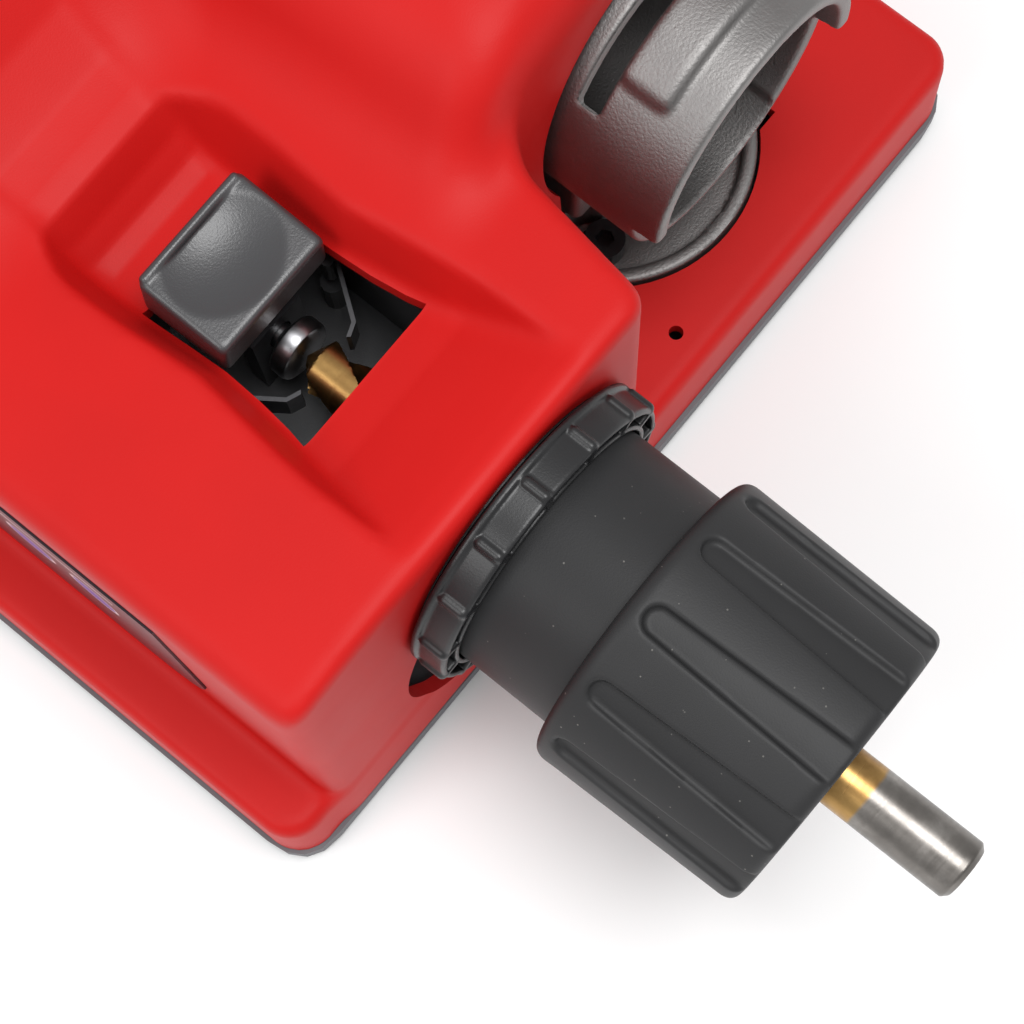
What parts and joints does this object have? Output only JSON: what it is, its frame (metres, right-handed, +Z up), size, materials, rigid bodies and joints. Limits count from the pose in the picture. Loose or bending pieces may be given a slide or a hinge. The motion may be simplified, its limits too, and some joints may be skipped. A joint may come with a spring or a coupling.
{
  "type": "drill bit sharpener",
  "caption": "Bench machine that sharpens twist drills: a chuck holds the drill in an alignment port, then in a swivelling port against a motor-driven diamond wheel.",
  "frame": {"origin": "middle of the whole object's footprint, drill included, on the bench surface", "axes": "+X along the chuck, out of the machine's front towards the user; +Y from the chuck side to the sharpening-port side; +Z up"},
  "size_m": [0.3326, 0.186, 0.107],
  "materials": {
    "red_shell": "satin moulded plastic with a fine grain",
    "base_grey": "matte moulded plastic",
    "rubber": "matte rubber",
    "label_film": null,
    "black_plastic": "satin moulded plastic",
    "chuck_grey": "matte moulded plastic",
    "button_grey": "satin, finely speckled",
    "steel": "machined or pressed steel",
    "dark_steel": "blackened steel and ferrite",
    "copper": "enamelled copper",
    "diamond_grit": "steel disc with a bonded diamond face",
    "cast_aluminium": "blasted die casting",
    "drill_steel": "gold titanium-nitride coat over bright steel",
    "board": "circuit board"
  },
  "bodies": {
    "machine": {"base_plate": "base_grey", "rubber_foot_1": "rubber", "rubber_foot_2": "rubber", "rubber_foot_3": "rubber", "rubber_foot_4": "rubber", "base_screw_1": "steel", "base_screw_2": "steel", "base_screw_3": "steel", "base_screw_4": "steel", "housing": "red_shell", "label_plate": "label_film", "switch_body": "black_plastic", "cable_gland": "black_plastic", "rectifier_board": "board", "motor_can": "steel", "motor_front_cap": "base_grey", "motor_rear_cap": "black_plastic", "front_bearing": "steel", "rear_bearing": "steel", "field_magnet_1": "dark_steel", "field_magnet_2": "dark_steel", "carbon_brush_1": "dark_steel", "carbon_brush_2": "dark_steel", "motor_strap_1": "steel", "motor_strap_2": "steel", "motor_cradle": "black_plastic", "alignment_sleeve": "black_plastic", "alignment_frame": "black_plastic", "stop_bracket": "black_plastic", "depth_stop_pin": "steel", "button_spring": "steel", "port_seat": "black_plastic"},
    "rocker": {"switch_rocker": "rubber"},
    "rotor": {"motor_shaft": "steel", "armature_core": "dark_steel", "armature_winding_1": "copper", "armature_winding_2": "copper", "commutator": "copper", "cooling_fan": "black_plastic", "grinding_wheel": "diamond_grit", "wheel_flange": "steel", "wheel_washer": "steel", "wheel_screw": "dark_steel"},
    "collar": {"collar_ring": "black_plastic"},
    "chuck": {"chuck_barrel": "chuck_grey"},
    "knob": {"chuck_knob": "chuck_grey"},
    "nut": {"jaw_nut": "steel"},
    "jaw_1": {"chuck_jaw_1": "steel"},
    "jaw_2": {"chuck_jaw_2": "steel"},
    "jaw_3": {"chuck_jaw_3": "steel"},
    "jaw_4": {"chuck_jaw_4": "steel"},
    "jaw_5": {"chuck_jaw_5": "steel"},
    "jaw_6": {"chuck_jaw_6": "steel"},
    "drill": {"drill_bit": "drill_steel"},
    "button": {"thumb_button": "button_grey"},
    "pawl_plus_y": {"pawl_right": "steel"},
    "pawl_minus_y": {"pawl_left": "steel"},
    "port": {"sharpening_port": "cast_aluminium", "pivot_bolt": "steel"},
    "lock": {"lock_screw": "dark_steel"}
  },
  "joints": [
    {"name": "power_rocker", "type": "hinge", "parent": "machine", "child": "rocker", "pos_m": [-0.1123, -0.0807, 0.062], "axis": [0, 0, 1], "range_deg": [-10, 0]},
    {"name": "wheel_spin", "type": "hinge", "parent": "machine", "child": "rotor", "pos_m": [0.0147, 0.0287, 0.047], "axis": [0.8572, 0.515, 0], "continuous": true},
    {"name": "collar_turn", "type": "hinge", "parent": "machine", "child": "collar", "pos_m": [0.0837, -0.032, 0.062], "axis": [1, 0, 0], "range_deg": [-20, 20]},
    {"name": "chuck_slide", "type": "slide", "parent": "machine", "child": "chuck", "axis": [1, 0, 0], "range_m": [0, 0.06]},
    {"name": "knob_turn", "type": "hinge", "parent": "chuck", "child": "knob", "pos_m": [0.0837, -0.032, 0.062], "axis": [1, 0, 0], "range_deg": [0, 360]},
    {"name": "nut_slide", "type": "slide", "parent": "chuck", "child": "nut", "axis": [1, 0, 0], "range_m": [0, 0.005]},
    {"name": "jaw_1_slide", "type": "slide", "parent": "chuck", "child": "jaw_1", "axis": [0.9397, 0.342, 0], "range_m": [0, 0.00533]},
    {"name": "jaw_2_slide", "type": "slide", "parent": "chuck", "child": "jaw_2", "axis": [0.9397, 0.171, 0.2962], "range_m": [0, 0.00533]},
    {"name": "jaw_3_slide", "type": "slide", "parent": "chuck", "child": "jaw_3", "axis": [0.9397, -0.171, 0.2962], "range_m": [0, 0.00533]},
    {"name": "jaw_4_slide", "type": "slide", "parent": "chuck", "child": "jaw_4", "axis": [0.9397, -0.342, 0], "range_m": [0, 0.00533]},
    {"name": "jaw_5_slide", "type": "slide", "parent": "chuck", "child": "jaw_5", "axis": [0.9397, -0.171, -0.2962], "range_m": [0, 0.00533]},
    {"name": "jaw_6_slide", "type": "slide", "parent": "chuck", "child": "jaw_6", "axis": [0.9397, 0.171, -0.2962], "range_m": [0, 0.00533]},
    {"name": "drill_slide", "type": "slide", "parent": "chuck", "child": "drill", "axis": [1, 0, 0], "range_m": [0, 0.105]},
    {"name": "button_press", "type": "slide", "parent": "machine", "child": "button", "axis": [-1, 0, 0], "range_m": [0, 0.0065], "stiffness_N_per_m": 250, "springref_m": -0.003},
    {"name": "pawl_plus_y_turn", "type": "hinge", "parent": "machine", "child": "pawl_plus_y", "pos_m": [0.0352, -0.0191, 0.062], "axis": [0, 0, 1], "range_deg": [0, 11]},
    {"name": "pawl_minus_y_turn", "type": "hinge", "parent": "machine", "child": "pawl_minus_y", "pos_m": [0.0352, -0.0449, 0.062], "axis": [0, 0, -1], "range_deg": [0, 11]},
    {"name": "port_swivel", "type": "hinge", "parent": "machine", "child": "port", "pos_m": [0.0442, 0.039, 0.0205], "axis": [0, 0, 1], "range_deg": [0, 8.5]},
    {"name": "lock_turn", "type": "hinge", "parent": "machine", "child": "lock", "pos_m": [0.0557, 0.024, 0.0205], "axis": [0, 0, 1], "range_deg": [0, 180]}
  ],
  "couplings": [
    {"joint": "nut_slide", "follows": "knob_turn", "m_per_rad": 0.00079577},
    {"joint": "jaw_1_slide", "follows": "knob_turn", "m_per_rad": 0.00084685},
    {"joint": "jaw_2_slide", "follows": "knob_turn", "m_per_rad": 0.00084685},
    {"joint": "jaw_3_slide", "follows": "knob_turn", "m_per_rad": 0.00084685},
    {"joint": "jaw_4_slide", "follows": "knob_turn", "m_per_rad": 0.00084685},
    {"joint": "jaw_5_slide", "follows": "knob_turn", "m_per_rad": 0.00084685},
    {"joint": "jaw_6_slide", "follows": "knob_turn", "m_per_rad": 0.00084685},
    {"joint": "pawl_plus_y_turn", "follows": "button_press", "rad_per_m": 29.268},
    {"joint": "pawl_minus_y_turn", "follows": "button_press", "rad_per_m": 29.268}
  ]
}
